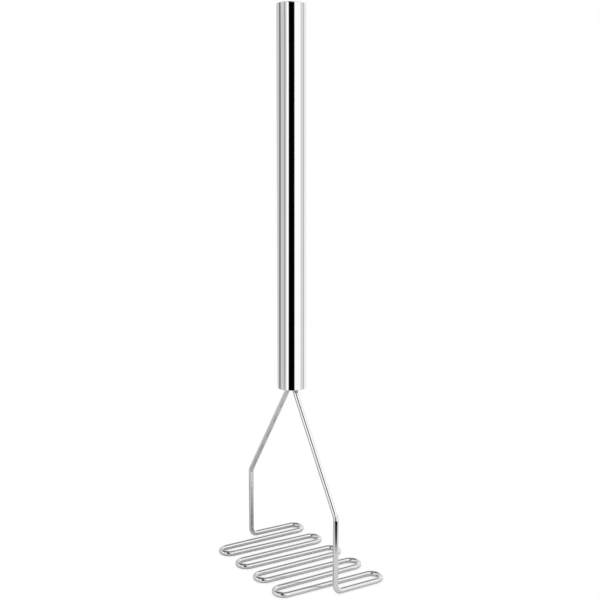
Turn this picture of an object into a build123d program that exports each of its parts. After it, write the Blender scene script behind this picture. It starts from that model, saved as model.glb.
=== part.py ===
from build123d import *
import os
from math import asin, atan2, degrees, hypot, pi, tan

# Potato masher with a tube handle and one long bent wire for its head.
# Sizes are in millimetres. The masher stands on its mashing face at z = 0 and
# the handle's axis is the Z axis. The lines of the face run along X, and the
# two legs stand over the face's rear edge (+Y) and its front edge (-Y).

# Handle tube
overall_height = 465.0
handle_length = 310.6
handle_diameter = 24.0
tube_wall = 1.2
rim_round = 0.5

# Pressed cap in the top of the tube
cap_sheet = 1.2
cap_skirt_length = 8.0
cap_edge_round = 0.6

# Wire of the head: the zigzag that mashes
wire_diameter = 4.5
right_bend_count = 5
line_pitch = 15.7
bend_radius = 7.4
right_reach = 48.5
left_reach = 45.4

# Wire of the head: the two arms that carry the zigzag. The legs stand a little to
# the left of the handle's axis, and the shoulder bends start just below the welds.
leg_height = 64.0
leg_offset = 1.5
foot_radius = 5.0
knee_radius = 7.0
shoulder_radius = 4.0
shoulder_depth = 0.5
stub_spacing = 7.2
stub_projection = 2.0
wire_end_chamfer = 0.4

# Plug in the bottom of the tube and the welds that hold the wire to it
plug_recess = 3.6
plug_thickness = 12.0
plug_edge_chamfer = 0.8
weld_leg = 1.1
fit_clearance = 0.05

# Places that follow from the sizes above
handle_radius = handle_diameter / 2
bore_radius = handle_radius - tube_wall
insert_radius = bore_radius - fit_clearance
handle_bottom = overall_height - handle_length
plug_bottom = handle_bottom + plug_recess
plug_top = plug_bottom + plug_thickness

wire_radius = wire_diameter / 2
wire_hole_radius = wire_radius + fit_clearance
stub_y = stub_spacing / 2
stub_top = plug_top + stub_projection
weld_reach = min(weld_leg, stub_y - wire_hole_radius - fit_clearance)

right_centre_x = right_reach - wire_radius - bend_radius
left_centre_x = wire_radius + bend_radius - left_reach
first_centre_y = (right_bend_count - 1) * line_pitch
foot_y = first_centre_y + bend_radius
leg_x = -leg_offset

# Each arm runs straight from its shoulder bend to the corner over its leg.
shoulder_top = plug_bottom - weld_leg - shoulder_depth
arm_spread = hypot(leg_x, foot_y - stub_y) - shoulder_radius
arm_drop = shoulder_top - leg_height
arm_slant = atan2(arm_spread, arm_drop) + asin(shoulder_radius / hypot(arm_spread, arm_drop))
shoulder_z = shoulder_top - shoulder_radius * tan(arm_slant / 2)

# Each line touches one bend circle on the right and the next one on the left,
# so it leans a little across the face when the bends are tighter than the pitch.
centre_span = right_centre_x - left_centre_x
centre_distance = hypot(centre_span, line_pitch)
line_lean = degrees(
    atan2(line_pitch, centre_span) - asin(2 * bend_radius / centre_distance)
)


def arm_corners(side):
    """Corners of one arm, from its stub inside the handle to its half line."""
    return [
        (0, side * stub_y, stub_top),
        (0, side * stub_y, shoulder_z),
        (leg_x, side * foot_y, leg_height),
        (leg_x, side * foot_y, wire_radius),
        (right_centre_x, side * foot_y, wire_radius),
    ]


def right_bend(number):
    """One bend at the right, from its rear line to its front line."""
    lean_in = 0 if number == 0 else line_lean
    lean_out = 0 if number == right_bend_count - 1 else line_lean
    centre_y = first_centre_y - 2 * number * line_pitch
    return CenterArc(
        (right_centre_x, centre_y, wire_radius),
        bend_radius,
        90 - lean_in,
        lean_in + lean_out - 180,
    )


def left_bend(number):
    """One bend at the left, from its rear line to its front line."""
    centre_y = first_centre_y - (2 * number + 1) * line_pitch
    return CenterArc(
        (left_centre_x, centre_y, wire_radius),
        bend_radius,
        90 + line_lean,
        180 - 2 * line_lean,
    )


# One wire, bent in a single run: down from the handle, out to the rear leg, to
# and fro across the face, and back up the front leg into the handle.
with BuildPart() as masher_wire:
    with BuildLine() as wire_route:
        FilletPolyline(
            arm_corners(1), radius=[shoulder_radius, knee_radius, foot_radius]
        )
        bend = right_bend(0)
        for number in range(1, right_bend_count):
            turn = left_bend(number - 1)
            Line(bend @ 1, turn @ 0)
            bend = right_bend(number)
            Line(turn @ 1, bend @ 0)
        FilletPolyline(
            arm_corners(-1)[::-1], radius=[foot_radius, knee_radius, shoulder_radius]
        )
    with BuildSketch(Plane(origin=(0, stub_y, stub_top), z_dir=(0, 0, -1))):
        Circle(wire_radius)
    sweep(path=wire_route.wire())
    chamfer(masher_wire.edges().group_by(Axis.Z)[-1], wire_end_chamfer)
masher_wire.part.label = "masher_wire"

# The handle is a plain length of tube with its outer edges broken.
with BuildPart() as handle_tube:
    with BuildSketch(Plane.XY.offset(handle_bottom)):
        Circle(handle_radius)
        Circle(bore_radius, mode=Mode.SUBTRACT)
    extrude(amount=handle_length)
    tube_ends = handle_tube.faces().filter_by(Plane.XY)
    fillet([end.outer_wire().edge() for end in tube_ends], rim_round)
handle_tube.part.label = "handle_tube"

# The cap is a shallow cup pressed from sheet, set in the tube with its crown
# level with the rim.
with BuildPart() as top_cap:
    with BuildSketch(Plane.XZ) as cap_profile:
        with BuildLine():
            Polyline(
                (0, overall_height),
                (insert_radius, overall_height),
                (insert_radius, overall_height - cap_skirt_length),
                (insert_radius - cap_sheet, overall_height - cap_skirt_length),
                (insert_radius - cap_sheet, overall_height - cap_sheet),
                (0, overall_height - cap_sheet),
                close=True,
            )
        make_face()
        crown_corner = cap_profile.vertices().sort_by(Axis.X).group_by(Axis.Y)[-1][-1]
        fillet(crown_corner, cap_edge_round)
    revolve(axis=Axis.Z)
top_cap.part.label = "top_cap"

# The plug sits up inside the tube and takes both ends of the wire.
with BuildPart() as bottom_plug:
    with BuildSketch(Plane.XY.offset(plug_bottom)):
        Circle(insert_radius)
        with GridLocations(0, stub_spacing, 1, 2):
            Circle(wire_hole_radius, mode=Mode.SUBTRACT)
    extrude(amount=plug_thickness)
    plug_ends = bottom_plug.faces().filter_by(Plane.XY)
    chamfer([end.outer_wire().edge() for end in plug_ends], plug_edge_chamfer)
bottom_plug.part.label = "bottom_plug"


def weld_bead(side):
    """Fillet of weld around one stub, against the plug's lower face."""
    with BuildPart() as bead:
        with BuildSketch(Plane.XZ.offset(-side * stub_y)):
            with BuildLine():
                Polyline(
                    (wire_hole_radius, plug_bottom),
                    (wire_hole_radius + weld_reach, plug_bottom),
                    (wire_hole_radius, plug_bottom - weld_leg),
                    close=True,
                )
            make_face()
        revolve(axis=Axis((0, side * stub_y, 0), (0, 0, 1)))
    return bead


rear_weld_bead = weld_bead(1)
rear_weld_bead.part.label = "rear_weld_bead"

front_weld_bead = weld_bead(-1)
front_weld_bead.part.label = "front_weld_bead"

# Write one file for each piece.
os.makedirs("parts", exist_ok=True)
export_step(masher_wire.part, "parts/masher_wire.step")
export_step(handle_tube.part, "parts/handle_tube.step")
export_step(top_cap.part, "parts/top_cap.step")
export_step(bottom_plug.part, "parts/bottom_plug.step")
export_step(rear_weld_bead.part, "parts/rear_weld_bead.step")
export_step(front_weld_bead.part, "parts/front_weld_bead.step")

wire_length = wire_route.wire().length
section_area = pi * wire_radius**2
print("wire length", round(wire_length, 1), "lean of the lines", round(line_lean, 2))
print("wire volume", round(masher_wire.part.volume))
print("section times length", round(section_area * wire_length))
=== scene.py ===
from math import pi, radians

import bpy
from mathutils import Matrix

# Chrome potato masher in a white studio. Metres, Z up, in the frame of the CAD
# model: the handle's axis is Z and the mashing face lies on z = 0.

# Camera, at the photograph's place and angle
CAMERA_PLACE = (-0.40178, -0.67615, 0.34416)
CAMERA_AZIMUTH = radians(31.22)
CAMERA_DOWN = radians(8.374)
CAMERA_CLIP = 0.01
FRAME_PIXELS = 600
FOCAL_PIXELS = 963.35
SENSOR_WIDTH = 36.0

# Floor: a round white sheet under the head. The camera sees matt paint with a glow
# of its own, so the sheet fades into the background and keeps only faint shadows.
WHITE = (1, 1, 1, 1)
FLOOR_RADIUS = 0.22
FLOOR_SIDES = 96
FLOOR_GREY = 0.35
FLOOR_GLOW = 0.70

# The chrome sees the sheet without the glow, in greys of painted light and shade. Each
# pair is a distance from the middle, towards the azimuth above it, and the grey there.
# The sheet is painted palest 45 degrees to the camera's right, where its light stands,
# and has a painted dark shade at its edge 12 degrees to the camera's right, given as a
# share of that grey.
SHEET_PAINTED_LIGHT_AZIMUTH = CAMERA_AZIMUTH - radians(45)
SHEET_PAINTED_LIGHT_FAR = (-0.10, 0.66)
SHEET_PAINTED_LIGHT_NEAR = (0.07, 0.97)
SHEET_PAINTED_SHADE_AZIMUTH = CAMERA_AZIMUTH - radians(12)
SHEET_PAINTED_SHADE_START = (0.145, 1.0)
SHEET_PAINTED_SHADE_END = (0.173, 0.04)

# What the chrome mirrors. Angles are in degrees round the object, 0 towards the
# camera and positive to its right, and up from the horizon. A level of 1 is white,
# and a panel covers those before it in the list.
ROOM_LEVEL = 0.85
PANELS = [
    # name, from, to, bottom, top, edge softness, level
    ("left wall", -140, -42, -91, 32, 6, 0.93),
    ("floor beyond", -181, -60, -91, -22, 4, 0.72),
    ("left upper light", -112, -40, 10, 34, 4, 1.6),
    ("right wall", 60, 142, -91, 54, 8, 1.38),
    ("right far wall", 142, 181, -91, 46, 8, 1.10),
    ("right middle", 74, 112, -91, 12, 4, 1.04),
    ("right edge", 108, 116, -91, 12, 2, 0.48),
    ("dark ceiling behind", 116, 181, 44, 91, 10, 0.22),
    ("dark ceiling left", -181, -60, 40, 91, 10, 0.22),
    ("ceiling middle", -60, 116, 62, 91, 10, 0.75),
    ("dark ceiling near", -95, -12, 64, 82, 6, 0.15),
    ("left dark edge", -60, -50, -15, 11, 5, 0.53),
    ("left dark door", -111, -92, -15, 12, 4, 0.24),
    ("left strip light", -38, -18, -91, 26, 5, 1.68),
    ("right window", -6, 73, -91, 56, 7, 1.55),
    ("window sill", 42, 96, 11, 22, 4, 0.95),
    ("camera side upper", -37, 12, 38, 56, 4, 0.0),
    ("camera side middle", -30, 0, 13, 40, 5, 0.0),
    ("curtain foot", -26, 70, -91, -17.5, 2, 0.0),
    ("black curtain", -22, 24.5, -91, 14, 7, 0.0),
]

# As they rise, the panels' sides lean to the right, and more so further left, so
# that each band keeps to one column of the picture along the handle. The lean is
# sideways angle per upward angle: its value towards the camera, and what it gains
# with each radian to the right. It acts between two elevations, in degrees.
LEAN_MIDDLE = 0.19
LEAN_GAIN = -0.258
LEAN_BOTTOM = -14
LEAN_TOP = 6

# Finishes of the pieces; the plug's and welds' greys are paler than bare steel, painted
# light that brightens the shaded mouth of the tube. The grain makes the roughness vary
# by the spread to either side, and gives the surface bumps of this strength and depth.
CHROME_GREY = 0.623
FINISHES_AND_PAINTED_LIGHT = [
    # name, pieces, grey, roughness, spread, grain scale, stretch of the grain, bump, depth
    ("polished_chrome", ["handle_tube"], CHROME_GREY, 0.010, 0.004, 220, (1, 1, 0.15), 0.008, 0.0001),
    ("cap_chrome_finish", ["top_cap"], CHROME_GREY, 0.06, 0.02, 260, (1, 1, 1), 0.03, 0.0001),
    ("wire_chrome_finish", ["masher_wire"], CHROME_GREY, 0.04, 0.01, 300, (1, 1, 1), 0.008, 0.0001),
    # Painted light: the plug and welds are painted paler than bare steel to brighten the shaded tube
    # mouth.
    ("plug_steel_finish", ["bottom_plug"], 0.88, 0.50, 0.06, 700, (1, 1, 1), 0.1, 0.0002),
    ("weld_finish", ["rear_weld_bead", "front_weld_bead"], 0.84, 0.50, 0.08, 1500, (1, 1, 1), 0.3, 0.0002),
]
GRAIN_DETAIL = 4.0
GRAIN_ROUGHNESS = 0.6
GRAIN_LOW = 0.3
GRAIN_HIGH = 0.7

# The tube's bore has no plating, and its grey is paler than bare steel: painted light
# that brightens the shaded mouth of the tube. Given are its grey, the roughness it has on
# top of the plating's, and the distance from the axis within which the tube counts as bore.
BORE_PAINTED_LIGHT_GREY = 0.9
BORE_ROUGHNESS = 0.5
BORE_EDGE = 0.0111


def feed(tree, socket, source):
    """Link a socket to another node's output, or set it to a plain value."""
    if isinstance(source, bpy.types.NodeSocket):
        tree.links.new(source, socket)
    else:
        socket.default_value = source


def node(tree, kind, **values):
    """New node of a kind, with its properties set and its sockets fed by name."""
    made = tree.nodes.new(kind)
    for name, value in values.items():
        if name in made.inputs:
            feed(tree, made.inputs[name], value)
        else:
            setattr(made, name, value)
    return made


def result(tree, kind, *sources, **values):
    """Output of a new node whose sockets are fed in their order."""
    made = node(tree, kind, **values)
    for socket, source in zip(made.inputs, sources):
        feed(tree, socket, source)
    return made.outputs[0]


def calculated(tree, operation, *sources):
    """Output of a Math node, fed by other outputs or numbers."""
    return result(tree, "ShaderNodeMath", *sources, operation=operation)


def ramp(tree, value, start, end, interpolation="LINEAR"):
    """Ramp between two points, each a pair of input and output, and level beyond them."""
    ends = {"From Min": start[0], "To Min": start[1], "From Max": end[0], "To Max": end[1]}
    made = node(tree, "ShaderNodeMapRange", interpolation_type=interpolation, Value=value, **ends)
    return made.outputs["Result"]


def band(tree, angle, low, high, soft):
    """1 where the angle lies between low and high degrees, 0 outside, with soft edges."""
    half = soft / 2
    rise = ramp(tree, angle, (radians(low - half), 0), (radians(low + half), 1), "SMOOTHSTEP")
    fall = ramp(tree, angle, (radians(high + half), 0), (radians(high - half), 1), "SMOOTHSTEP")
    return calculated(tree, "MULTIPLY", rise, fall)


def parts_of(tree, vector):
    """The X, Y and Z outputs of a vector."""
    return node(tree, "ShaderNodeSeparateXYZ", Vector=vector).outputs


def turned(tree, vector, azimuth):
    """Parts of a vector seen from an azimuth: X to the right, Y away and Z up."""
    turn = node(tree, "ShaderNodeVectorRotate", rotation_type="Z_AXIS", Angle=azimuth, Vector=vector)
    return parts_of(tree, turn.outputs["Vector"])


def mirrored_level(tree):
    """Brightness of the room and its panels in every direction."""
    direction = node(tree, "ShaderNodeTexCoord").outputs["Generated"]
    parts = turned(tree, direction, CAMERA_AZIMUTH)
    toward_camera = calculated(tree, "MULTIPLY", parts["Y"], -1.0)
    around = calculated(tree, "ARCTAN2", parts["X"], toward_camera)
    upward = calculated(tree, "ARCSINE", parts["Z"])
    lean = calculated(tree, "MULTIPLY_ADD", around, LEAN_GAIN, LEAN_MIDDLE)
    lean = calculated(tree, "MAXIMUM", lean, 0.0)
    rise = calculated(tree, "MAXIMUM", upward, radians(LEAN_BOTTOM))
    rise = calculated(tree, "MINIMUM", rise, radians(LEAN_TOP))
    shift = calculated(tree, "MULTIPLY", lean, rise)
    around = calculated(tree, "SUBTRACT", around, shift)

    level = ROOM_LEVEL
    for name, start, end, bottom, top, soft, panel_level in PANELS:
        width = band(tree, around, start, end, soft)
        height = band(tree, upward, bottom, top, soft)
        inside = calculated(tree, "MULTIPLY", width, height)
        mix = node(
            tree, "ShaderNodeMix", data_type="FLOAT", label=name, Factor=inside, A=level, B=panel_level
        )
        level = mix.outputs["Result"]
    return level


def build_world():
    """White room for the camera and the floor; the room with its panels for the chrome."""
    world = bpy.data.worlds.new("studio")
    bpy.context.scene.world = world
    world.use_nodes = True
    tree = world.node_tree
    tree.nodes.clear()
    room = node(tree, "ShaderNodeBackground", Color=WHITE, Strength=1.0).outputs[0]
    mirrored = node(tree, "ShaderNodeBackground", Color=WHITE, Strength=mirrored_level(tree)).outputs[0]
    path = node(tree, "ShaderNodeLightPath").outputs
    surface = result(tree, "ShaderNodeMixShader", path["Is Glossy Ray"], room, mirrored)
    node(tree, "ShaderNodeOutputWorld", Surface=surface)


def nearness(tree, place, azimuth):
    """How far a place lies from the middle towards a viewer at an azimuth."""
    return calculated(tree, "MULTIPLY", turned(tree, place, azimuth)["Y"], -1.0)


def sheet_painted_light_and_shade(tree):
    """Grey of the sheet that the chrome sees, with painted light and shade: painted paler towards the
    light, painted dark at its edge.
    """
    place = node(tree, "ShaderNodeNewGeometry").outputs["Position"]
    toward_painted_light = nearness(tree, place, SHEET_PAINTED_LIGHT_AZIMUTH)
    toward_painted_shade = nearness(tree, place, SHEET_PAINTED_SHADE_AZIMUTH)
    # Painted pool of light: the sheet's grey rises towards the side 45 degrees to the camera's right.
    light = ramp(tree, toward_painted_light, SHEET_PAINTED_LIGHT_FAR, SHEET_PAINTED_LIGHT_NEAR)
    # Painted shade: the sheet's grey falls nearly to black at its edge, 12 degrees to the camera's right.
    painted_shade = ramp(tree, toward_painted_shade, SHEET_PAINTED_SHADE_START, SHEET_PAINTED_SHADE_END)
    return calculated(tree, "MULTIPLY", light, painted_shade)


def build_floor():
    """Round white sheet that keeps only the faint contact shadows of the wire."""
    bpy.ops.mesh.primitive_circle_add(
        vertices=FLOOR_SIDES, radius=FLOOR_RADIUS, fill_type="NGON"
    )
    floor = bpy.context.object
    floor.name = "floor"
    material = bpy.data.materials.new("white_sheet")
    material.use_nodes = True
    tree = material.node_tree
    tree.nodes.clear()
    # The sheet that the chrome mirrors carries painted light and painted shade in its colour.
    sheet = node(tree, "ShaderNodeBsdfDiffuse", Color=sheet_painted_light_and_shade(tree)).outputs[0]
    paint = node(tree, "ShaderNodeBsdfDiffuse", Color=(FLOOR_GREY, FLOOR_GREY, FLOOR_GREY, 1)).outputs[0]
    glow = node(tree, "ShaderNodeEmission", Strength=FLOOR_GLOW).outputs[0]
    bright = result(tree, "ShaderNodeAddShader", paint, glow)
    path = node(tree, "ShaderNodeLightPath").outputs
    seen = calculated(tree, "MAXIMUM", path["Is Camera Ray"], path["Is Transmission Ray"])
    surface = result(tree, "ShaderNodeMixShader", seen, sheet, bright)
    node(tree, "ShaderNodeOutputMaterial", Surface=surface)
    floor.data.materials.append(material)


def metal(name, grey, roughness, spread, grain_scale, stretch, bump, depth):
    """Plated or bare metal: fine variation in roughness and a very shallow waviness."""
    material = bpy.data.materials.new(name)
    material.use_nodes = True
    tree = material.node_tree
    shader = tree.nodes["Principled BSDF"]
    shader.inputs["Metallic"].default_value = 1.0
    shader.inputs["Base Color"].default_value = (grey, grey, grey, 1)
    place = node(tree, "ShaderNodeTexCoord").outputs["Object"]
    scaled = node(tree, "ShaderNodeMapping", Vector=place, Scale=stretch).outputs["Vector"]
    noise = node(
        tree,
        "ShaderNodeTexNoise",
        Vector=scaled,
        Scale=grain_scale,
        Detail=GRAIN_DETAIL,
        Roughness=GRAIN_ROUGHNESS,
    )
    grain = noise.outputs["Fac"]
    polish = ramp(tree, grain, (GRAIN_LOW, roughness - spread), (GRAIN_HIGH, roughness + spread))
    tree.links.new(polish, shader.inputs["Roughness"])
    wave = node(tree, "ShaderNodeBump", Strength=bump, Distance=depth, Height=grain)
    tree.links.new(wave.outputs["Normal"], shader.inputs["Normal"])
    return material


def satin_bore_with_painted_light(material):
    """Bare satin steel inside the tube, where the plating doesn't reach, painted paler than bare steel as
    painted light in the shaded mouth.
    """
    tree = material.node_tree
    shader = tree.nodes["Principled BSDF"]
    place = parts_of(tree, node(tree, "ShaderNodeTexCoord").outputs["Object"])
    across = calculated(tree, "MULTIPLY", place["X"], place["X"])
    across = calculated(tree, "MULTIPLY_ADD", place["Y"], place["Y"], across)
    inside = calculated(tree, "LESS_THAN", across, BORE_EDGE**2)
    polish = shader.inputs["Roughness"].links[0].from_socket
    rough = calculated(tree, "MULTIPLY_ADD", inside, BORE_ROUGHNESS, polish)
    tree.links.new(rough, shader.inputs["Roughness"])
    # Painted light: the bore is painted paler than bare steel to brighten the shaded mouth of the tube.
    grey = ramp(tree, inside, (0, CHROME_GREY), (1, BORE_PAINTED_LIGHT_GREY))
    tree.links.new(grey, shader.inputs["Base Color"])


def dress_nodes():
    """Give every CAD piece its finish, with painted light in the greys of the bore, plug and welds."""
    for name, pieces, *look in FINISHES_AND_PAINTED_LIGHT:
        material = metal(name, *look)
        if "handle_tube" in pieces:
            satin_bore_with_painted_light(material)
        for piece in pieces:
            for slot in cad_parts[piece].material_slots:
                slot.material = material


def build_camera():
    """Camera at the photograph's place, without roll or shift."""
    data = bpy.data.cameras.new("camera")
    data.sensor_fit = "HORIZONTAL"
    data.sensor_width = SENSOR_WIDTH
    data.lens = FOCAL_PIXELS / FRAME_PIXELS * SENSOR_WIDTH
    data.clip_start = CAMERA_CLIP
    camera = bpy.data.objects.new("camera", data)
    camera.location = CAMERA_PLACE
    camera.rotation_euler = (pi / 2 - CAMERA_DOWN, 0, -CAMERA_AZIMUTH)
    bpy.context.collection.objects.link(camera)
    bpy.context.scene.camera = camera


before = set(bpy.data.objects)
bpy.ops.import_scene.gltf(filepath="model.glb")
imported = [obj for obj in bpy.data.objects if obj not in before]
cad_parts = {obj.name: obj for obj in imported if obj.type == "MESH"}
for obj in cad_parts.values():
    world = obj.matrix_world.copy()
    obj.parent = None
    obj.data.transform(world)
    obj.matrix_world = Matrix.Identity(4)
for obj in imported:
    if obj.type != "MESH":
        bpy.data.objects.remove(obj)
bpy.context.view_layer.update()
dress_nodes()
build_world()
build_floor()
build_camera()
bpy.context.scene.view_settings.view_transform = "Standard"
